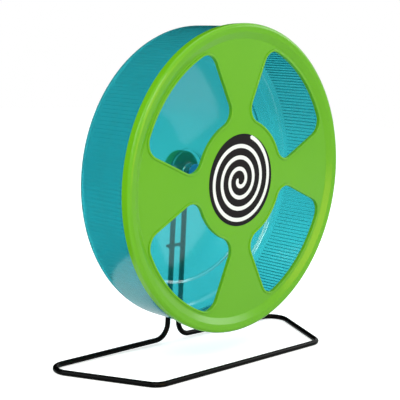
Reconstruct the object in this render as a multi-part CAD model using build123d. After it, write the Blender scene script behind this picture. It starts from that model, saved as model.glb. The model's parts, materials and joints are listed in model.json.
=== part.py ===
from build123d import *

# Rodent exercise wheel on a bent wire stand. Sizes are in millimetres, angles in degrees.
#
# Frame: X to the right seen from the front, Y from the front to the back, Z up from the floor.
# The wheel turns about an axle along Y. While a piece is drawn, its depth "y" is counted from
# the frontmost edge of the wheel's rim and its height from the axle. At the end all pieces move
# together, so that the origin lies on the floor under the middle of the whole object.

import os
from math import atan2, cos, hypot, pi, radians, sin, sqrt, tan

# Wheel as a whole
wheel_radius = 140.0
axle_height = 168.0
rest_turn = 4.0  # how far the free wheel stands turned, counter-clockwise from the front
cut_reach = 1.0  # how far a cut runs on past the face that it opens

# Front cover
cover_wall = 2.0
rim_round = 3.4
rim_land = 0.1  # narrow flat left beside the rounding of the rim
rim_width = 4.2
rim_fall = 0.6
band_width = 6.0
band_top_round = 2.5
band_foot_round = 1.6
recess_depth = 4.0
skirt_depth = 9.3
skirt_draft = 0.3
window_count = 4
window_outer_radius = 122.8
hub_plate_radius = 55.7
spoke_root_width = 16.0
spoke_flare = 25.7
window_corner = 13.5
lip_width = 2.0
lip_height = 0.9
lip_return = 0.8
lip_round = 0.6
label_radius = 42.0
label_thickness = 0.5
label_sink = 0.3
label_gap = 0.1

# Snap bead that holds the cover on the drum
drum_fit = 0.15
bead_height = 0.6
bead_width = 2.4
bead_inset = 3.0
snap_clearance = 0.1

# Running drum
drum_wall = 2.2
drum_draft = 0.8
drum_corner = 12.0
back_plane = 73.0
rib_count = 234
rib_height = 0.9
rib_root = 1.7
rib_crest = 0.7
rib_start_gap = 5.0
rib_end_gap = 0.5
rib_foot_step = 0.1
step_radius = 106.0
step_height = 1.2
step_slope = 2.4
collar_radius = 22.2
collar_wall = 1.6
collar_height = 1.4

# Ball bearings, two alike, in the hub sleeve
bearing_bore = 5.0
bearing_outside = 11.0
bearing_width = 5.0
race_wall = 0.85
race_edge = 0.2
ball_diameter = 1.6
ball_count = 8
ball_clearance = 0.1
cage_wall = 0.4
cage_side = 0.3
pocket_clearance = 0.1
shield_thickness = 0.25
shield_inset = 0.1
shield_gap = 0.2
seat_fit = 0.02

# Hub sleeve of the drum, and its cap
sleeve_wall = 1.6
sleeve_length = 12.8
sleeve_shoulder = 0.8
sleeve_root_round = 3.0
cap_wall = 1.2
cap_overlap = 4.0
cap_dome = 9.0
cap_round = 6.0
cap_clearance = 0.1

# Stand wire
wire_diameter = 5.0
upright_spacing = 14.6
upright_top = 12.0
back_rail_y = 82.0
back_half_width = 161.5
front_rail_y = -13.0
front_half_width = 110.0
foot_bend = 15.0
foot_rise = 2.0  # how much higher the back rail lies at the uprights than at its ends
back_bend = 14.5
front_bend = 15.0
brace_diameter = 3.0
brace_length = 21.5
brace_below_axle = 73.0
brace_edge = 0.4
weld_sink = 0.15

# Hub holder: two halves that clamp the uprights
holder_radius = 19.2
holder_front_depth = 4.4
holder_rear_depth = 4.6
holder_front_dome = 2.6
holder_rear_dome = 3.6
holder_bulge = 1.1
holder_edge_round = 0.8
holder_split = 0.2
holder_boss_radius = 7.5
channel_clearance = 0.05
nose_foot_radius = 6.5

# Axle bolt and what is on it
bolt_play = 0.03
hole_play = 0.05
bolt_head_radius = 4.4
bolt_head_height = 2.8
bolt_head_round = 1.6
bolt_socket_width = 3.0
bolt_socket_depth = 1.6
head_washer_thickness = 0.8
nut_washer_thickness = 1.0
nut_washer_radius = 6.2
spacer_wall = 0.75
nut_across_flats = 8.0
nut_height = 4.0
nut_dome = 4.2
nut_dome_step = 0.4
nut_dome_flat = 0.4
nut_end_wall = 1.4
bolt_end_gap = 0.8

# Screws that join the halves of the hub holder
screw_spacing = 27.0
screw_radius = 1.5
screw_play = 0.05
screw_head_radius = 2.7
screw_head_height = 1.8
screw_head_play = 0.3
screw_seat_depth = 4.0
screw_reach = 4.5
screw_slot_width = 0.9
screw_slot_depth = 0.8

# Cover and drum, from the sizes above
plate_back = recess_depth + cover_wall
rim_crest_radius = wheel_radius - rim_round
band_top_radius = rim_crest_radius - rim_width
band_foot_radius = band_top_radius - band_width
rim_inside_y = rim_fall + cover_wall
skirt_inside = wheel_radius - skirt_draft - cover_wall
drum_front_radius = skirt_inside - drum_fit
drum_front = rim_inside_y + drum_fit
drum_back_radius = drum_front_radius - drum_draft
drum_inside = drum_back_radius - drum_wall
edge_back = back_plane - step_height
disc_front = back_plane - drum_wall
bead_y = skirt_depth - bead_inset
rib_start = drum_front + rib_start_gap
rib_end = edge_back - drum_corner - rib_end_gap

# Hub, from the sizes above
bearing_radius = bearing_outside / 2
bore_radius = bearing_bore / 2
pitch_radius = (bearing_radius + bore_radius) / 2
inner_land = bore_radius + race_wall
outer_land = bearing_radius - race_wall
ball_radius = ball_diameter / 2
sleeve_radius = bearing_radius + sleeve_wall
sleeve_front = disc_front - sleeve_length
front_bearing_y = sleeve_front
front_race_end = front_bearing_y + bearing_width
rear_bearing_y = back_plane - bearing_width
bolt_radius = bore_radius - bolt_play
hole_radius = bolt_radius + hole_play
spacer_radius = hole_radius + spacer_wall
head_back = sleeve_front - head_washer_thickness

# Stand, from the sizes above
wire_radius = wire_diameter / 2
upright_x = upright_spacing / 2
floor_wire_z = wire_radius - axle_height
holder_front_y = back_rail_y - holder_front_depth
holder_nose_y = holder_front_y - holder_front_dome
holder_rear_y = back_rail_y + holder_rear_depth
holder_back_y = holder_rear_y + holder_rear_dome
nut_front_y = holder_back_y + nut_washer_thickness
nut_end_y = nut_front_y + nut_height + nut_dome
screw_seat_y = back_rail_y + screw_seat_depth

# The origin's place, in depth, while the pieces are drawn
middle_y = (front_rail_y - wire_radius + nut_end_y) / 2


def front_plane(y):
    """Drawing plane at depth y. Across is X, up is Z, and it faces the front."""
    return Plane(origin=(0, y, 0), x_dir=(1, 0, 0), z_dir=(0, -1, 0))


def turned(outline):
    """Solid turned about the axle from a face drawn as (radius, depth)."""
    return revolve(outline, axis=Axis.Y, revolution_arc=360)


def outline_of(*points):
    """Face in (radius, depth) through the points, with straight sides."""
    return make_face(Polyline(*points, close=True))


def rounded(outline, x, y, radius):
    """The outline with its corner nearest to (x, y) rounded."""
    corner = min(outline.vertices(), key=lambda vertex: hypot(vertex.X - x, vertex.Y - y))
    return fillet(corner, radius)


def ring(inner, outer, y_from, y_to):
    """Plain ring about the axle, or a disc where inner is zero."""
    return turned(outline_of((inner, y_from), (outer, y_from), (outer, y_to), (inner, y_to)))


def peg(radius, y_from, y_to, x=0.0, z=0.0):
    """Round peg along Y between two depths."""
    return extrude(front_plane(y_to) * Pos(x, z) * Circle(radius), y_to - y_from)


def prism(face, y_from, y_to):
    """The face, drawn as seen from the front, made solid between two depths."""
    return extrude(front_plane(y_to) * face, y_to - y_from)


def bead_outline(base_radius, height, width):
    """Half-round bead in (radius, depth), whose foot lies a little inside base_radius."""
    foot = base_radius - height / 2
    start = (foot, bead_y - width / 2)
    end = (foot, bead_y + width / 2)
    tip = (base_radius + height, bead_y)
    return make_face(ThreePointArc(start, tip, end) + Line(end, start))


def spoke_edge_angle(radius):
    """Angle from a spoke's middle to its flared edge, where that edge meets a circle."""
    flare = tan(radians(spoke_flare))
    start = hub_plate_radius - spoke_root_width / 2 / flare
    square = 1 + flare**2
    along = (flare**2 * start + sqrt(square * radius**2 - (flare * start) ** 2)) / square
    return atan2(flare * (along - start), along)


def window_outlines():
    """The windows, between flared spokes, a hub plate and a rim, with round corners."""
    between = 2 * pi / window_count
    hub_edge = spoke_edge_angle(hub_plate_radius)
    rim_edge = spoke_edge_angle(window_outer_radius)

    def spot(radius, angle):
        return (radius * cos(angle), radius * sin(angle))

    hub_start = spot(hub_plate_radius, hub_edge)
    hub_end = spot(hub_plate_radius, between - hub_edge)
    rim_start = spot(window_outer_radius, rim_edge)
    rim_end = spot(window_outer_radius, between - rim_edge)
    window = make_face(
        Line(hub_start, rim_start)
        + ThreePointArc(rim_start, spot(window_outer_radius, between / 2), rim_end)
        + Line(rim_end, hub_end)
        + ThreePointArc(hub_end, spot(hub_plate_radius, between / 2), hub_start)
    )
    window = fillet(window.vertices(), window_corner)
    return [Rot(0, 0, index * 360 / window_count) * window for index in range(window_count)]


def window_lip(window):
    """Raised lip round one window, from a little behind the plate to above its front."""
    front = recess_depth - lip_height
    lip = prism(offset(window, lip_width), front, plate_back + lip_return)
    lip -= prism(window, front, plate_back + lip_return)
    crest = lip.faces().sort_by(Axis.Y)[0]
    return fillet(crest.edges(), lip_round)


def front_cover():
    """Green cover: round rim, sloped band, plate with windows and lips, and snap groove."""
    back_edge = (wheel_radius - skirt_draft, skirt_depth)
    label_edge = label_radius + label_gap
    outer = outline_of(
        back_edge,
        (wheel_radius, rim_round),
        (wheel_radius, 0),
        (rim_crest_radius, 0),
        (band_top_radius, rim_fall),
        (band_foot_radius, recess_depth),
        (label_edge, recess_depth),
        (label_edge, recess_depth + label_sink),
        (0, recess_depth + label_sink),
        (0, plate_back),
        (band_foot_radius, plate_back),
        (band_top_radius, rim_inside_y),
        (skirt_inside, rim_inside_y),
        (skirt_inside, skirt_depth),
    )
    outer = rounded(outer, wheel_radius, 0, rim_round - rim_land)
    outer = rounded(outer, band_top_radius, rim_fall, band_top_round)
    outer = rounded(outer, band_foot_radius, recess_depth, band_foot_round)
    cover = turned(outer)
    cover -= turned(bead_outline(drum_front_radius, bead_height + snap_clearance, bead_width))
    for window in window_outlines():
        cover += window_lip(window)
        cover -= prism(window, -cut_reach, skirt_depth)
    return cover


def spiral_disc():
    """Round label in the cover's middle."""
    front = recess_depth + label_sink - label_thickness
    return ring(0, label_radius, front, recess_depth + label_sink)


def rib_grooves():
    """The gaps between the ribs as one toothed bar, which is cut out of the thick wall."""
    root = drum_inside - rib_foot_step
    crest = root - rib_height
    inside = crest - rib_height
    pitch = 2 * pi / rib_count
    half_crest = rib_crest / 2 / crest
    half_root = rib_root / 2 / root
    points = []
    for index in range(rib_count):
        middle = index * pitch
        for radius, angle in (
            (root, middle - half_root),
            (inside, middle - half_crest),
            (inside, middle + half_crest),
            (root, middle + half_root),
        ):
            points.append((radius * cos(angle), radius * sin(angle)))
    return prism(make_face(Polyline(*points, close=True)), rib_start - cut_reach, rib_end + cut_reach)


def running_drum():
    """Drum: ribbed running wall, round back corner, stepped back disc, collar and hub sleeve."""
    crest = drum_inside - rib_foot_step - rib_height
    step_out = step_radius + step_slope / 2
    step_in = step_radius - step_slope / 2
    shoulder = bearing_radius - sleeve_shoulder
    seat = bearing_radius + seat_fit
    body = outline_of(
        (drum_inside, drum_front),
        (drum_front_radius, drum_front),
        (drum_back_radius, edge_back),
        (step_out, edge_back),
        (step_in, back_plane),
        (seat, back_plane),
        (seat, rear_bearing_y),
        (shoulder, rear_bearing_y),
        (shoulder, front_race_end),
        (seat, front_race_end),
        (seat, sleeve_front),
        (sleeve_radius, sleeve_front),
        (sleeve_radius, disc_front),
        (step_in, disc_front),
        (step_out, edge_back - drum_wall),
        (drum_inside, edge_back - drum_wall),
        (drum_inside, rib_end),
        (crest, rib_end),
        (crest, rib_start),
        (drum_inside, rib_start),
    )
    body = rounded(body, drum_back_radius, edge_back, drum_corner)
    body = rounded(body, drum_inside, edge_back - drum_wall, drum_corner - drum_wall)
    body = rounded(body, sleeve_radius, disc_front, sleeve_root_round)
    drum = turned(body)
    drum += turned(bead_outline(drum_front_radius, bead_height, bead_width - 2 * snap_clearance))
    collar_inside = collar_radius - collar_wall
    drum += ring(collar_inside, collar_radius, disc_front + drum_wall / 2, back_plane + collar_height)
    return drum - rib_grooves()


def hub_cap():
    """Domed cap pushed over the front end of the hub sleeve."""
    inside = sleeve_radius + cap_clearance
    outside = inside + cap_wall
    apex = sleeve_front - cap_dome
    end = sleeve_front + cap_overlap
    shell = outline_of(
        (0, apex),
        (outside, apex),
        (outside, end),
        (inside, end),
        (inside, apex + cap_wall),
        (0, apex + cap_wall),
    )
    shell = rounded(shell, outside, apex, cap_round)
    return turned(rounded(shell, inside, apex + cap_wall, cap_round - cap_wall))


def ball_places(y):
    """Middle of each ball of the bearing whose middle plane is at depth y."""
    turns = (2 * pi * index / ball_count for index in range(ball_count))
    return [Pos(pitch_radius * cos(turn), y, pitch_radius * sin(turn)) for turn in turns]


def race_track(y):
    """Ring-shaped groove in which the balls run."""
    return turned(Pos(pitch_radius, y) * Circle(ball_radius + ball_clearance))


def race(inner, outer, y_from):
    """One race: a ring with broken edges, before its groove is cut."""
    blank = ring(inner, outer, y_from, y_from + bearing_width)
    return chamfer(blank.edges().filter_by(GeomType.CIRCLE), race_edge)


def bearing_cage(middle):
    """Thin ring with a round window for each ball."""
    half = ball_radius + pocket_clearance + cage_side
    inside = pitch_radius - cage_wall / 2
    cage = ring(inside, inside + cage_wall, middle - half, middle + half)
    window = Rot(0, 90, 0) * Cylinder(ball_radius + pocket_clearance, 2 * ball_diameter)
    window = Pos(pitch_radius, 0, 0) * window
    for index in range(ball_count):
        cage -= Pos(0, middle, 0) * Rot(0, -index * 360 / ball_count, 0) * window
    return cage


def bearing(place, y_from):
    """The pieces of one ball bearing, by node name."""
    middle = y_from + bearing_width / 2
    shield_inner = inner_land + shield_gap
    shields = []
    for face, way in ((y_from, 1), (y_from + bearing_width, -1)):
        near = face + way * shield_inset
        far = near + way * shield_thickness
        shields.append(ring(shield_inner, outer_land, min(near, far), max(near, far)))
    return {
        f"{place}_bearing_outer_race": race(outer_land, bearing_radius, y_from) - race_track(middle),
        f"{place}_bearing_inner_race": race(bore_radius, inner_land, y_from) - race_track(middle),
        f"{place}_bearing_balls": [spot * Sphere(ball_radius) for spot in ball_places(middle)],
        f"{place}_bearing_cage": bearing_cage(middle),
        f"{place}_bearing_shields": shields,
    }


def stand_wire():
    """One bent wire: down the left upright, round the foot loop, and up the right upright."""
    foot_z = floor_wire_z + foot_rise
    half = [
        (upright_x, back_rail_y, upright_top),
        (upright_x, back_rail_y, foot_z),
        (back_half_width, back_rail_y, floor_wire_z),
        (front_half_width, front_rail_y, floor_wire_z),
    ]
    corners = [(-x, y, z) for x, y, z in half] + half[::-1]
    bends = [foot_bend, back_bend, front_bend]
    route = FilletPolyline(*corners, radius=bends + bends[::-1])
    end = Plane(origin=corners[0], z_dir=(0, 0, -1))
    return sweep(end * Circle(wire_radius), path=route)


def cross_brace():
    """Short wire welded across the back of the uprights."""
    radius = brace_diameter / 2
    y = back_rail_y + wire_radius + radius - weld_sink
    bar = Pos(0, y, -brace_below_axle) * Rot(0, 90, 0) * Cylinder(radius, brace_length)
    return chamfer(bar.edges().filter_by(GeomType.CIRCLE), brace_edge)


def holder_half(front, rim, split, boss, bulge):
    """Half of the hub holder: a disc whose outer face is a low dome down to its rim."""
    middle = ((boss + holder_radius) / 2, (front + rim) / 2 - bulge)
    dome = ThreePointArc((boss, front), middle, (holder_radius, rim))
    sides = Polyline(
        (holder_radius, rim),
        (holder_radius, split),
        (hole_radius, split),
        (hole_radius, front),
        (boss, front),
    )
    outline = rounded(make_face(dome + sides), holder_radius, rim, holder_edge_round)
    return turned(outline)


def upright_channels():
    """Room for the two uprights, closed at the top."""
    top = upright_top + channel_clearance
    length = holder_radius + top + cut_reach
    channel = Cylinder(wire_radius + channel_clearance, length)
    return [Pos(side * upright_x, back_rail_y, top - length / 2) * channel for side in (-1, 1)]


def screw_spots():
    """Heights of the two holder screws, above and below the axle."""
    return (screw_spacing / 2, -screw_spacing / 2)


def holder_front():
    """Front half, with the nose that bears on the rear bearing's inner race."""
    split = back_rail_y - holder_split / 2
    half = holder_half(holder_nose_y, holder_front_y, split, nose_foot_radius, holder_bulge)
    half += ring(hole_radius, spacer_radius, back_plane, holder_front_y)
    for channel in upright_channels():
        half -= channel
    for z in screw_spots():
        thread_end = back_rail_y - screw_reach - screw_play
        half -= peg(screw_radius + screw_play, thread_end, back_rail_y, z=z)
    return half


def holder_rear():
    """Rear half, with the seat of the nut and sunk seats for the two screws."""
    split = back_rail_y + holder_split / 2
    half = holder_half(holder_back_y, holder_rear_y, split, holder_boss_radius, -holder_bulge)
    for channel in upright_channels():
        half -= channel
    for z in screw_spots():
        half -= peg(screw_radius + screw_play, back_rail_y, holder_back_y, z=z)
        half -= peg(screw_head_radius + screw_head_play, screw_seat_y, holder_back_y + cut_reach, z=z)
    return half


def holder_screws():
    """The two screws, with slotted heads."""
    screws = []
    for z in screw_spots():
        head_end = screw_seat_y + screw_head_height
        screw = peg(screw_radius, back_rail_y - screw_reach, screw_seat_y, z=z)
        screw += peg(screw_head_radius, screw_seat_y, head_end, z=z)
        slot = Box(2 * (screw_head_radius + cut_reach), 2 * screw_slot_depth, screw_slot_width)
        screws.append(screw - Pos(0, head_end, z) * slot)
    return screws


def axle_bolt():
    """Round-headed bolt with a hexagon socket, from inside the hub cap to the nut."""
    head_front = head_back - bolt_head_height
    end = nut_end_y - nut_end_wall - bolt_end_gap
    bolt = outline_of(
        (0, head_front),
        (bolt_head_radius, head_front),
        (bolt_head_radius, head_back),
        (bolt_radius, head_back),
        (bolt_radius, end),
        (0, end),
    )
    bolt = turned(rounded(bolt, bolt_head_radius, head_front, bolt_head_round))
    socket = RegularPolygon(bolt_socket_width / 2, 6, major_radius=False)
    return bolt - prism(socket, head_front - cut_reach, head_front + bolt_socket_depth)


def axle_nut():
    """Hexagon nut with a closed dome over the bolt's end."""
    dome_foot = nut_front_y + nut_height
    hexagon = RegularPolygon(nut_across_flats / 2, 6, major_radius=False)
    radius = nut_across_flats / 2 - nut_dome_step
    dome = outline_of((0, dome_foot), (radius, dome_foot), (radius, nut_end_y), (0, nut_end_y))
    dome = turned(rounded(dome, radius, nut_end_y, radius - nut_dome_flat))
    nut = prism(hexagon, nut_front_y, dome_foot) + dome
    return nut - peg(hole_radius, nut_front_y - cut_reach, nut_end_y - nut_end_wall)


def wheel_pieces():
    """Everything that turns with the wheel, as it stands at rest."""
    return {
        "running_drum": running_drum(),
        "front_cover": front_cover(),
        "spiral_disc": spiral_disc(),
        "hub_cap": hub_cap(),
    }


def stand_pieces():
    """Everything that stands still."""
    return {
        "stand_wire": stand_wire(),
        "cross_brace": cross_brace(),
        "holder_front": holder_front(),
        "holder_rear": holder_rear(),
        "holder_screws": holder_screws(),
        "axle_bolt": axle_bolt(),
        "head_washer": ring(hole_radius, spacer_radius, head_back, front_bearing_y),
        "race_spacer": ring(hole_radius, spacer_radius, front_race_end, rear_bearing_y),
        "nut_washer": ring(hole_radius, nut_washer_radius, holder_back_y, nut_front_y),
        "axle_nut": axle_nut(),
    }


def save(name, shape, placing):
    """Writes one node, moved to its place, as a STEP file."""
    solids = []
    for piece in shape if isinstance(shape, list) else [shape]:
        solids += (placing * piece).solids()
    node = Compound(children=solids) if len(solids) > 1 else solids[0]
    node.label = name
    export_step(node, f"parts/{name}.step")


def main():
    """Builds every piece and writes it to the parts folder."""
    os.makedirs("parts", exist_ok=True)
    home = Pos(0, -middle_y, axle_height)
    at_rest = home * Rot(0, -rest_turn, 0)
    for name, shape in wheel_pieces().items():
        save(name, shape, at_rest)
    for place, y_from in (("front", front_bearing_y), ("rear", rear_bearing_y)):
        for name, shape in bearing(place, y_from).items():
            save(name, shape, home)
    for name, shape in stand_pieces().items():
        save(name, shape, home)
    print("origin lies", round(middle_y, 3), "behind the rim, axle at", axle_height)


main()
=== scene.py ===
"""Looks of a rodent exercise wheel: a see-through ribbed drum and a green cover on a wire stand.

The construction comes from the frame. This script gives each of its nodes the finish of the real
material, adds the printed spiral and the welds, and sets the light, the floor and the camera.
"""

import json
import logging
from dataclasses import dataclass
from enum import Enum
from itertools import product
from typing import Any

import bpy
import numpy as np
from mathutils import Matrix, Vector

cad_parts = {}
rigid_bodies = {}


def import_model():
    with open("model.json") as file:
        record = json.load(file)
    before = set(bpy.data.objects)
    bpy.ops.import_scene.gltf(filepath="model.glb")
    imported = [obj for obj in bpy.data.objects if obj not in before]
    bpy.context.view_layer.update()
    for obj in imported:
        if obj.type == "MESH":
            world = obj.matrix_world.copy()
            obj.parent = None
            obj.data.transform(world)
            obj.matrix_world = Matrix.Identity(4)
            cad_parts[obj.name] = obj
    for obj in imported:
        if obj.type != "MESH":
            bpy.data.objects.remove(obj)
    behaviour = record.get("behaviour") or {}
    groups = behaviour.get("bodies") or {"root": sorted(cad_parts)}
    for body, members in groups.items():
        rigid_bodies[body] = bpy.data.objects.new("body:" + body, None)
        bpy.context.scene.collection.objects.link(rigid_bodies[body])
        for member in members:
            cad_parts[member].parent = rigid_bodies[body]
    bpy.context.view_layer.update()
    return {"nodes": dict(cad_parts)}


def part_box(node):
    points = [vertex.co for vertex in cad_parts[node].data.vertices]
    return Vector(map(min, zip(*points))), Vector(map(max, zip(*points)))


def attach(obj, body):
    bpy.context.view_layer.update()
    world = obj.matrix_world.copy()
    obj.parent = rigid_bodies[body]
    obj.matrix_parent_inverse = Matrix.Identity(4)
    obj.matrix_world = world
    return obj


MM = 0.001
PHOTO_PIXELS = 400
SENSOR_MM = 36.0
WHITE = "#FFFFFF"

log = logging.getLogger("wheel")


def empty_stage() -> None:
    """Removes the objects of a new file, so that only the frame and the new pieces are left."""
    for thing in list(bpy.data.objects):
        bpy.data.objects.remove(thing)


empty_stage()
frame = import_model()


class Body(Enum):
    """The bodies of the frame that a new piece can ride on."""

    WHEEL = "wheel"
    STAND = "stand"


class Bearing(Enum):
    """The two ball bearings, by the end of the hub sleeve that holds each."""

    FRONT = "front"
    REAR = "rear"


class Ray(Enum):
    """The kinds of ray that show the backdrop to the eye, by their names in Light Path."""

    CAMERA = "Is Camera Ray"
    GLOSSY = "Is Glossy Ray"
    CLEAR = "Is Transmission Ray"


def linear(colour: str) -> tuple[float, float, float, float]:
    """Turns an sRGB hex colour into linear light.

    Args:
        colour: six hex digits after a hash sign.

    Returns:
        Red, green, blue and an alpha of one.
    """
    parts = np.array([int(colour[start : start + 2], 16) for start in (1, 3, 5)]) / 255
    light = np.where(parts <= 0.04045, parts / 12.92, ((parts + 0.055) / 1.055) ** 2.4)
    return (*(float(value) for value in light), 1.0)


def add_node(
    tree: bpy.types.NodeTree,
    kind: str,
    inputs: dict[str | int, Any] | None = None,
    **settings: Any,
) -> bpy.types.Node:
    """Adds one node with its settings, its socket values and its links.

    Args:
        tree: the node tree to add to.
        kind: Blender's type name of the node.
        inputs: socket name or number to a value, or to the output socket to link.
        settings: properties of the node itself.

    Returns:
        The new node.
    """
    node = tree.nodes.new(kind)
    for name, value in settings.items():
        setattr(node, name, value)
    for socket, value in (inputs or {}).items():
        if isinstance(value, bpy.types.NodeSocket):
            tree.links.new(value, node.inputs[socket])
        else:
            node.inputs[socket].default_value = value
    return node


def new_material(name: str) -> tuple[bpy.types.Material, bpy.types.NodeTree, bpy.types.Node]:
    """Makes an empty node material.

    Args:
        name: the material's name.

    Returns:
        The material, its node tree and its output node.
    """
    material = bpy.data.materials.new(name)
    material.use_nodes = True
    tree = material.node_tree
    tree.nodes.clear()
    return material, tree, add_node(tree, "ShaderNodeOutputMaterial")


@dataclass(frozen=True)
class MouldedPlastic:
    """Injection-moulded plastic from a polished mould: even colour, clear gloss, faint flow waves.

    The flow waves, a few centimetres apart, are what makes the reflection in a real moulded sheet
    wander, and they carry its slight drift of colour. Fine handling scuffs vary the gloss. They
    are drawn coarser than real, so that they show.
    """

    name: str
    colour: str
    shade: str
    ior: float
    roughness: float
    shine: float
    clearness: float = 0.0
    wave_spacing: float = 45 * MM
    wave_height: float = 0.05 * MM
    scuff_spacing: float = 6 * MM
    scuff_gloss: float = 0.03

    def build(self) -> bpy.types.Material:
        """Makes the material.

        Returns:
            The material, ready to go into a slot.
        """
        material, tree, output = new_material(self.name)
        place = add_node(tree, "ShaderNodeTexCoord").outputs["Object"]
        wave = add_node(
            tree,
            "ShaderNodeTexNoise",
            {"Vector": place, "Scale": 1 / self.wave_spacing, "Detail": 2.0, "Roughness": 0.45},
        )
        scuff = add_node(
            tree,
            "ShaderNodeTexNoise",
            {"Vector": place, "Scale": 1 / self.scuff_spacing, "Detail": 5.0, "Roughness": 0.7},
        )
        tint = add_node(
            tree,
            "ShaderNodeMix",
            {"Factor": wave.outputs["Fac"], "A": linear(self.colour), "B": linear(self.shade)},
            data_type="RGBA",
        )
        gloss = add_node(
            tree,
            "ShaderNodeMapRange",
            {
                "Value": scuff.outputs["Fac"],
                "From Min": 0.3,
                "From Max": 0.75,
                "To Min": self.roughness,
                "To Max": self.roughness + self.scuff_gloss,
            },
        )
        bump = add_node(
            tree,
            "ShaderNodeBump",
            {"Height": wave.outputs["Fac"], "Strength": 1.0, "Distance": self.wave_height},
        )
        shader = add_node(
            tree,
            "ShaderNodeBsdfPrincipled",
            {
                "Base Color": tint.outputs["Result"],
                "Roughness": gloss.outputs["Result"],
                "Normal": bump.outputs["Normal"],
                "IOR": self.ior,
                "Specular IOR Level": self.shine,
                "Transmission Weight": self.clearness,
            },
        )
        tree.links.new(shader.outputs["BSDF"], output.inputs["Surface"])
        return material


@dataclass(frozen=True)
class PowderCoat:
    """Powder coat baked on steel: a deep gloss with the fine orange peel of the flowed powder."""

    name: str
    colour: str
    roughness: float
    shine: float
    ior: float = 1.5
    peel_spacing: float = 1.4 * MM
    peel_height: float = 0.012 * MM
    peel_gloss: float = 0.08

    def build(self) -> bpy.types.Material:
        """Makes the material.

        Returns:
            The material, ready to go into a slot.
        """
        material, tree, output = new_material(self.name)
        place = add_node(tree, "ShaderNodeTexCoord").outputs["Object"]
        peel = add_node(
            tree,
            "ShaderNodeTexNoise",
            {"Vector": place, "Scale": 1 / self.peel_spacing, "Detail": 1.5, "Roughness": 0.5},
        )
        bump = add_node(
            tree,
            "ShaderNodeBump",
            {"Height": peel.outputs["Fac"], "Strength": 1.0, "Distance": self.peel_height},
        )
        gloss = add_node(
            tree,
            "ShaderNodeMapRange",
            {
                "Value": peel.outputs["Fac"],
                "To Min": self.roughness,
                "To Max": self.roughness + self.peel_gloss,
            },
        )
        shader = add_node(
            tree,
            "ShaderNodeBsdfPrincipled",
            {
                "Base Color": linear(self.colour),
                "Roughness": gloss.outputs["Result"],
                "Normal": bump.outputs["Normal"],
                "IOR": self.ior,
                "Specular IOR Level": self.shine,
            },
        )
        tree.links.new(shader.outputs["BSDF"], output.inputs["Surface"])
        return material


@dataclass(frozen=True)
class PrintedFilm:
    """Screen-printed ink on a vinyl film: flat and dense, with the film's faint satin grain.

    The grain is drawn several times coarser than real, so that it shows.
    """

    name: str
    colour: str
    worn: str
    roughness: float
    shine: float
    grain_spacing: float = 0.8 * MM
    grain_height: float = 0.006 * MM

    def build(self) -> bpy.types.Material:
        """Makes the material.

        Returns:
            The material, ready to go into a slot.
        """
        material, tree, output = new_material(self.name)
        place = add_node(tree, "ShaderNodeTexCoord").outputs["Object"]
        grain = add_node(
            tree,
            "ShaderNodeTexNoise",
            {"Vector": place, "Scale": 1 / self.grain_spacing, "Detail": 3.0},
        )
        tint = add_node(
            tree,
            "ShaderNodeMix",
            {"Factor": grain.outputs["Fac"], "A": linear(self.colour), "B": linear(self.worn)},
            data_type="RGBA",
        )
        bump = add_node(
            tree,
            "ShaderNodeBump",
            {"Height": grain.outputs["Fac"], "Strength": 1.0, "Distance": self.grain_height},
        )
        shader = add_node(
            tree,
            "ShaderNodeBsdfPrincipled",
            {
                "Base Color": tint.outputs["Result"],
                "Roughness": self.roughness,
                "Normal": bump.outputs["Normal"],
                "Specular IOR Level": self.shine,
            },
        )
        tree.links.new(shader.outputs["BSDF"], output.inputs["Surface"])
        return material


@dataclass(frozen=True)
class BareMetal:
    """Bare or plated metal, turned, pressed or ground: bright, with an uneven bloom on its gloss.

    The bloom stands for fine tool marks and is drawn coarser than they are, so that it shows.
    """

    name: str
    colour: str
    roughness: float
    bloom_spacing: float = 2 * MM
    bloom_gloss: float = 0.12

    def build(self) -> bpy.types.Material:
        """Makes the material.

        Returns:
            The material, ready to go into a slot.
        """
        material, tree, output = new_material(self.name)
        place = add_node(tree, "ShaderNodeTexCoord").outputs["Object"]
        bloom = add_node(
            tree,
            "ShaderNodeTexNoise",
            {"Vector": place, "Scale": 1 / self.bloom_spacing, "Detail": 4.0},
        )
        gloss = add_node(
            tree,
            "ShaderNodeMapRange",
            {
                "Value": bloom.outputs["Fac"],
                "To Min": self.roughness,
                "To Max": self.roughness + self.bloom_gloss,
            },
        )
        shader = add_node(
            tree,
            "ShaderNodeBsdfPrincipled",
            {
                "Base Color": linear(self.colour),
                "Metallic": 1.0,
                "Roughness": gloss.outputs["Result"],
            },
        )
        tree.links.new(shader.outputs["BSDF"], output.inputs["Surface"])
        return material


# Clear polystyrene, tinted in the mass: see-through, but a little milky in its thick ribbed wall.
DRUM_PLASTIC = MouldedPlastic(
    "turquoise_polystyrene_moulded",
    "#3DC6D0",
    "#37BFCB",
    ior=1.59,
    roughness=0.1,
    shine=0.13,
    clearness=0.77,
)
# The same polystyrene in a deeper blue and a thick dome, so only half clear.
CAP_PLASTIC = MouldedPlastic(
    "blue_polystyrene_moulded",
    "#24B0F8",
    "#1FA8F0",
    ior=1.59,
    roughness=0.1,
    shine=0.3,
    clearness=0.4,
)
# ABS, coloured in the mass: opaque, with a soft broad highlight on its polished face.
COVER_PLASTIC = MouldedPlastic(
    "green_abs_moulded", "#6CB312", "#66AF10", ior=1.53, roughness=0.2, shine=0.3
)
# The hub holder's ABS is the cover's green, painted brighter: this stands in for the light that
# reaches it through the drum.
HOLDER_PLASTIC_PAINTED_BRIGHT = MouldedPlastic(
    "green_abs_moulded_painted_bright", "#86D028", "#80CA24", ior=1.53, roughness=0.2, shine=0.3
)
# Powder coat on drawn wire: a deep black, whose thin highlight breaks up on the orange peel.
WIRE_COAT = PowderCoat("black_powder_coated_wire", "#030303", roughness=0.22, shine=0.07)
# Black ink on vinyl: a dense satin black without a clear reflection.
BLACK_INK = PrintedFilm(
    "black_vinyl_film_printed", "#181518", "#1B181B", roughness=0.42, shine=0.08
)
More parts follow.
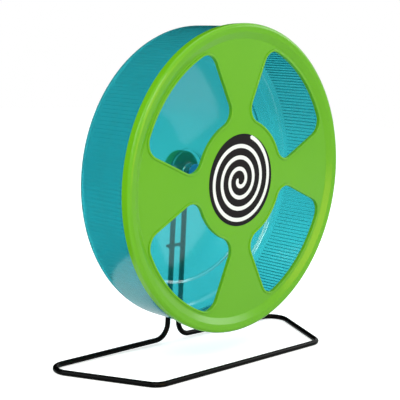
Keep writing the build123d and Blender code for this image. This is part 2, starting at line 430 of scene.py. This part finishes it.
# White screen ink, laid thick: an even, opaque white over the black.
WHITE_INK = PrintedFilm(
    "white_screen_ink_printed", "#F7F7F6", "#F1F1EF", roughness=0.45, shine=0.5
)
# Nickel plate on turned steel: a bright, even silver.
NICKEL = BareMetal("nickel_plated_steel_turned", "#C9CACC", roughness=0.16)
# Zinc plate on pressed steel: a cooler and duller silver.
ZINC = BareMetal("zinc_plated_steel_pressed", "#AEB2B8", roughness=0.3)
# Hardened steel, ground to size: the clearest mirror of these metals.
GROUND_STEEL = BareMetal("bearing_steel_ground", "#B9BBBE", roughness=0.1)
# Brass sheet, pressed: a soft yellow gloss.
BRASS = BareMetal("brass_pressed", "#C6A664", roughness=0.22)


def surface(
    name: str, points: np.ndarray, around: bool = False, caps: bool = False
) -> bpy.types.Object:
    """Makes a mesh object from a grid of points.

    The grid's first direction runs along the shape and its second across or round it. Each cell
    becomes one quad. Where the second direction is closed, the last column joins the first, and
    the two end rows can be closed with one face each.

    Args:
        name: the object's name.
        points: array of shape (along, across, 3), in metres.
        around: whether the second direction is closed.
        caps: whether the first and the last row are closed with a face.

    Returns:
        The new object, linked to the scene.
    """
    along, across = points.shape[:2]
    index = np.arange(along * across).reshape(along, across)
    if around:
        index = np.hstack([index, index[:, :1]])
    quads = np.stack([index[:-1, :-1], index[1:, :-1], index[1:, 1:], index[:-1, 1:]], axis=-1)
    faces = quads.reshape(-1, 4).tolist()
    if caps:
        faces += [index[0, :across].tolist(), index[-1, across - 1 :: -1].tolist()]
    mesh = bpy.data.meshes.new(name)
    mesh.from_pydata(points.reshape(-1, 3).tolist(), [], faces)
    mesh.validate()
    piece = bpy.data.objects.new(name, mesh)
    bpy.context.scene.collection.objects.link(piece)
    return piece


def finish_piece(
    piece: bpy.types.Object, material: bpy.types.Material, body: Body
) -> None:
    """Dresses a new piece and ties it to the frame.

    Args:
        piece: the new object.
        material: its finish.
        body: the body that it moves with.
    """
    piece.data.materials.append(material)
    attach(piece, body.value)
    log.info("%s: %d faces, rides on %s", piece.name, len(piece.data.polygons), body.value)


def dress(node: str, material: bpy.types.Material) -> None:
    """Gives all faces of a frame node one material.

    Args:
        node: the node's name.
        material: its finish.
    """
    for slot in frame["nodes"][node].material_slots:
        slot.material = material
    log.info("%s: %s", node, material.name)


@dataclass
class Wheel:
    """The turning wheel: drum, cover, label with its printed spiral, and hub cap."""

    spiral_offset: float = -2.0 * MM
    spiral_start: float = 2.04 * MM
    spiral_pitch: float = 10.25 * MM
    spiral_from: float = 150.0
    spiral_to: float = 1514.0
    line_width: float = 3.6 * MM
    line_tip: float = 0.999
    ink_thickness: float = 0.06 * MM
    spiral_steps: int = 900

    def spiral_points(self) -> np.ndarray:
        """Works out the white line as a thin closed bar.

        The middle of the line is an Archimedean spiral: its distance from the centre grows evenly
        with the angle. The line is a strip across that curve, whose half width is constant but for
        the two ends, where it follows a half circle. The circle stops just short of its tip, so
        that the end rows keep a width. The strip's section is a flat rectangle.

        Returns:
            Grid of points, with four points round the section.
        """
        turn = np.radians(np.linspace(self.spiral_from, self.spiral_to, self.spiral_steps))
        away = self.spiral_start + self.spiral_pitch * (turn - turn[0]) / (2 * np.pi)
        middle = np.stack([away * np.cos(turn), away * np.sin(turn)], axis=-1)
        middle[:, 0] += self.spiral_offset
        way = np.gradient(middle, axis=0)
        step = np.linalg.norm(way, axis=1)
        across = np.stack([-way[:, 1], way[:, 0]], axis=-1) / step[:, None]
        run = np.concatenate([[0.0], np.cumsum(np.linalg.norm(np.diff(middle, axis=0), axis=1))])
        radius = self.line_width / 2
        left = np.clip(radius - np.minimum(run, run[-1] - run), 0.0, radius * self.line_tip)
        half = np.sqrt(radius**2 - left**2)
        low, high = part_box("spiral_disc")
        centre_x, centre_z = (low.x + high.x) / 2, (low.z + high.z) / 2
        front = low.y - self.ink_thickness
        section = ((-1, low.y), (-1, front), (1, front), (1, low.y))
        grid = np.empty((self.spiral_steps, len(section), 3))
        for column, (side, depth) in enumerate(section):
            edge = middle + side * half[:, None] * across
            grid[:, column, 0] = centre_x + edge[:, 0]
            grid[:, column, 1] = depth
            grid[:, column, 2] = centre_z + edge[:, 1]
        return grid

    def build(self) -> None:
        """Dresses the wheel's nodes and adds the spiral."""
        dress("running_drum", DRUM_PLASTIC.build())
        dress("front_cover", COVER_PLASTIC.build())
        dress("spiral_disc", BLACK_INK.build())
        dress("hub_cap", CAP_PLASTIC.build())
        spiral = surface("spiral_print", self.spiral_points(), around=True, caps=True)
        finish_piece(spiral, WHITE_INK.build(), Body.WHEEL)


@dataclass
class Hub:
    """The two ball bearings, what they run on, and the small steel parts about them."""

    ground: tuple[str, ...] = ("outer_race", "inner_race", "balls")
    zinc_plated: tuple[str, ...] = ("head_washer", "race_spacer", "nut_washer", "holder_screws")
    nickel_plated: tuple[str, ...] = ("axle_bolt", "axle_nut")

    def build(self) -> None:
        """Dresses the bearings, the bolt, the nut, the washers, the spacer and the screws."""
        steel, zinc, brass, nickel = (
            metal.build() for metal in (GROUND_STEEL, ZINC, BRASS, NICKEL)
        )
        for place in Bearing:
            for piece in self.ground:
                dress(f"{place.value}_bearing_{piece}", steel)
            dress(f"{place.value}_bearing_cage", brass)
            dress(f"{place.value}_bearing_shields", zinc)
        for node in self.zinc_plated:
            dress(node, zinc)
        for node in self.nickel_plated:
            dress(node, nickel)


@dataclass
class Stand:
    """The bent wire, its brace with its welds, and the holder of the hub."""

    wires: tuple[str, ...] = ("stand_wire", "cross_brace")
    holder: tuple[str, ...] = ("holder_front", "holder_rear")
    upright_x: float = 7.3 * MM
    weld_radius: float = 1.3 * MM
    weld_reach: float = 2.4 * MM
    weld_offset: float = 1.3 * MM
    weld_pole: float = 0.02
    weld_rows: int = 16
    weld_columns: int = 24

    def weld_points(self, centre: Vector) -> np.ndarray:
        """Works out one weld bead.

        It is a ball stretched along the brace: half a turn from pole to pole along X, and a full
        turn round it. The half turn leaves a small angle at each pole, where a face closes it.

        Args:
            centre: the bead's middle.

        Returns:
            Grid of points, closed round the second direction.
        """
        lean = np.linspace(self.weld_pole, np.pi - self.weld_pole, self.weld_rows)[:, None]
        turn = np.linspace(0, 2 * np.pi, self.weld_columns, endpoint=False)[None, :]
        grid = np.empty((self.weld_rows, self.weld_columns, 3))
        grid[..., 0] = centre.x - self.weld_reach * np.cos(lean)
        grid[..., 1] = centre.y + self.weld_radius * np.sin(lean) * np.cos(turn)
        grid[..., 2] = centre.z + self.weld_radius * np.sin(lean) * np.sin(turn)
        return grid

    def build(self) -> None:
        """Dresses the stand's nodes, and adds a weld above and below the brace at each upright."""
        # The holder's green is painted brighter than the cover's, standing in for the light that
        # reaches it through the drum.
        coat, green = WIRE_COAT.build(), HOLDER_PLASTIC_PAINTED_BRIGHT.build()
        for node in self.wires:
            dress(node, coat)
        for node in self.holder:
            dress(node, green)
        low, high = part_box("cross_brace")
        middle = (low.z + high.z) / 2
        uprights = (-self.upright_x, self.upright_x)
        offsets = (-self.weld_offset, self.weld_offset)
        for number, (x, offset) in enumerate(product(uprights, offsets), 1):
            centre = Vector((x, low.y, middle + offset))
            bead = surface(
                f"brace_weld_{number}", self.weld_points(centre), around=True, caps=True
            )
            bead.data.shade_smooth()
            finish_piece(bead, coat, Body.STAND)


@dataclass(frozen=True)
class Lamp:
    """A round area lamp. Its place and width are in metres, and its power is in watts."""

    name: str
    place: tuple[float, float, float]
    width: float
    watts: float
    colour: str = WHITE

    def hang(self, aim: Vector) -> None:
        """Hangs the lamp, turned to a point.

        Args:
            aim: the point that it shines at.
        """
        lamp = bpy.data.lights.new(f"lamp_{self.name}", "AREA")
        lamp.shape = "DISK"
        lamp.size = self.width
        lamp.energy = self.watts
        lamp.color = linear(self.colour)[:3]
        hung = bpy.data.objects.new(lamp.name, lamp)
        hung.location = self.place
        hung.rotation_euler = (aim - Vector(self.place)).to_track_quat("-Z", "Y").to_euler()
        bpy.context.scene.collection.objects.link(hung)


@dataclass
class Studio:
    """Plain soft light from above and the sides, a pale floor, and two cards for reflections.

    The black card keeps the white backdrop out of the reflections on the drum's side, and the
    warm one gives the band of light on the cover's slope. Lengths are in metres.
    """

    ambient: float = 0.62
    ambient_colour: str = "#EFFFFF"
    floor_half: float = 3.0
    floor_colour: str = "#F4F4F4"
    floor_glow: float = 0.6
    black_span: tuple[float, float] = (-2.4, 1.6)
    black_depths: tuple[float, float] = (0.1, 1.1)
    black_heights: tuple[float, float] = (0.001, 2.6)
    black_colour: str = "#0A0A0A"
    warm_span: tuple[float, float] = (-0.4, 0.6)
    warm_heights: tuple[float, float] = (0.01, 1.15)
    warm_depth: float = -1.5
    warm_colour: str = "#FFD890"
    warm_strength: float = 5.5
    lamps: tuple[Lamp, ...] = (
        Lamp("key", (-0.9, -1.3, 1.5), 0.9, 17.0, "#FFF6E2"),
        Lamp("fill", (1.5, -0.8, 0.9), 0.9, 7.0),
        Lamp("top", (0.1, 0.3, 1.9), 1.2, 4.0),
        Lamp("side", (-1.6, 0.1, 0.9), 1.0, 7.0),
    )
    aim: tuple[float, float, float] = (0.0, 0.0, 0.15)

    def ray_test(self, tree: bpy.types.NodeTree, *rays: Ray) -> bpy.types.NodeSocket:
        """Adds the test for rays that show the backdrop instead of lighting with it.

        Args:
            tree: the node tree to add to.
            rays: the kinds to look for.

        Returns:
            The output that is 1 for rays of these kinds, and 0 for others.
        """
        path = add_node(tree, "ShaderNodeLightPath")
        found = path.outputs[rays[0].value]
        for ray in rays[1:]:
            either = {0: found, 1: path.outputs[ray.value]}
            found = add_node(tree, "ShaderNodeMath", either, operation="MAXIMUM").outputs["Value"]
        return found

    def build_world(self) -> None:
        """Sets the world: white to the eye, in reflections and through plastic, softer as light."""
        world = bpy.data.worlds.new("studio_world")
        world.use_nodes = True
        tree = world.node_tree
        tree.nodes.clear()
        seen = self.ray_test(tree, Ray.CAMERA, Ray.GLOSSY, Ray.CLEAR)
        strength = add_node(
            tree,
            "ShaderNodeMapRange",
            {"Value": seen, "To Min": self.ambient, "To Max": 1.0},
        )
        colour = add_node(
            tree,
            "ShaderNodeMix",
            {"Factor": seen, "A": linear(self.ambient_colour), "B": linear(WHITE)},
            data_type="RGBA",
        )
        light = add_node(
            tree,
            "ShaderNodeBackground",
            {"Color": colour.outputs["Result"], "Strength": strength.outputs["Result"]},
        )
        output = add_node(tree, "ShaderNodeOutputWorld")
        tree.links.new(light.outputs["Background"], output.inputs["Surface"])
        bpy.context.scene.world = world

    def build_floor(self) -> None:
        """Lays the floor, which keeps a soft shadow and glows to the eye so that it is white."""
        half = self.floor_half
        corners = np.array([[[x, y, 0.0] for y in (-half, half)] for x in (-half, half)])
        floor = surface("floor", corners)
        material, tree, output = new_material("floor_white_paper")
        paper = add_node(tree, "ShaderNodeBsdfDiffuse", {"Color": linear(self.floor_colour)})
        glow = add_node(
            tree,
            "ShaderNodeMapRange",
            {
                "Value": self.ray_test(tree, Ray.CAMERA, Ray.CLEAR),
                "To Min": 0.0,
                "To Max": self.floor_glow,
            },
        )
        shine = add_node(tree, "ShaderNodeEmission", {"Strength": glow.outputs["Result"]})
        both = add_node(
            tree,
            "ShaderNodeAddShader",
            {0: paper.outputs["BSDF"], 1: shine.outputs["Emission"]},
        )
        tree.links.new(both.outputs["Shader"], output.inputs["Surface"])
        floor.data.materials.append(material)

    def hang_card(self, name: str, corners: np.ndarray, kind: str, inputs: dict[str, Any]) -> None:
        """Hangs a studio card that only reflections show.

        Args:
            name: the card's name.
            corners: grid of its corners.
            kind: Blender's type name of the shader on it.
            inputs: the shader's socket values.
        """
        card = surface(name, corners)
        material, tree, output = new_material(f"{name}_paper")
        shader = add_node(tree, kind, inputs)
        tree.links.new(shader.outputs[0], output.inputs["Surface"])
        card.data.materials.append(material)
        card.visible_camera = False
        card.visible_diffuse = False
        card.visible_transmission = False
        card.visible_shadow = False

    def build_cards(self) -> None:
        """Sets a bent black card behind the object, and a warm bright one in front of it.

        The black card lies flat from its near edge to its bend and then stands up.
        """
        left, right = self.black_span
        near, far = self.black_depths
        low, high = self.black_heights
        bends = ((near, low), (far, low), (far, high))
        corners = np.array([[[left, *bend], [right, *bend]] for bend in bends])
        ink = {"Color": linear(self.black_colour)}
        self.hang_card("black_card", corners, "ShaderNodeBsdfDiffuse", ink)
        left, right = self.warm_span
        corners = np.array(
            [[[left, self.warm_depth, z], [right, self.warm_depth, z]] for z in self.warm_heights]
        )
        glow = {"Color": linear(self.warm_colour), "Strength": self.warm_strength}
        self.hang_card("warm_card", corners, "ShaderNodeEmission", glow)

    def build(self) -> None:
        """Builds the world, the floor and the cards, and hangs the lamps."""
        self.build_world()
        self.build_floor()
        self.build_cards()
        for lamp in self.lamps:
            lamp.hang(Vector(self.aim))
        bpy.context.scene.view_settings.view_transform = "Standard"


@dataclass
class Viewpoint:
    """The photograph's camera. Lengths are in metres and angles in degrees.

    It looks along a line that passes beside and below the axle point by the two slides, measured
    in the picture's own right and up. The photograph's points were measured from pixel centres,
    so the view moves by half a pixel.
    """

    azimuth: float = -46.54
    elevation: float = 8.18
    roll: float = 2.79
    distance: float = 0.92329
    focal_pixels: float = 1025.03
    slide_right: float = -0.03952
    slide_up: float = -0.01786
    half_pixel: float = 0.5

    def build(self, axle: Vector) -> None:
        """Places the camera about a point.

        Args:
            axle: the point on the wheel's axle, level with its front rim, that the distance is from.
        """
        azimuth, elevation, roll = np.radians([self.azimuth, self.elevation, self.roll])
        toward = Vector(
            (
                np.sin(azimuth) * np.cos(elevation),
                -np.cos(azimuth) * np.cos(elevation),
                np.sin(elevation),
            )
        )
        level = Vector((np.cos(azimuth), np.sin(azimuth), 0.0))
        upright = level.cross(-toward)
        right = level * np.cos(roll) + upright * np.sin(roll)
        up = upright * np.cos(roll) - level * np.sin(roll)
        nudge = self.half_pixel * self.distance / self.focal_pixels
        place = axle + right * (self.slide_right - nudge) + up * (self.slide_up + nudge)
        place += toward * self.distance
        lens = bpy.data.cameras.new("camera")
        lens.sensor_width = SENSOR_MM
        lens.lens = SENSOR_MM * self.focal_pixels / PHOTO_PIXELS
        camera = bpy.data.objects.new("camera", lens)
        turned = Matrix((right, up, toward)).transposed().to_4x4()
        camera.matrix_world = Matrix.Translation(place) @ turned
        bpy.context.scene.collection.objects.link(camera)
        bpy.context.scene.camera = camera


def main() -> None:
    """Builds the looks in order, from the wheel outwards, and places the camera."""
    logging.basicConfig(level=logging.INFO, format="%(name)s %(message)s")
    low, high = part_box("front_cover")
    axle = Vector(((low.x + high.x) / 2, low.y, (low.z + high.z) / 2))
    for part in (Wheel(), Hub(), Stand(), Studio()):
        part.build()
    Viewpoint().build(axle)


if __name__ == "__main__":
    main()
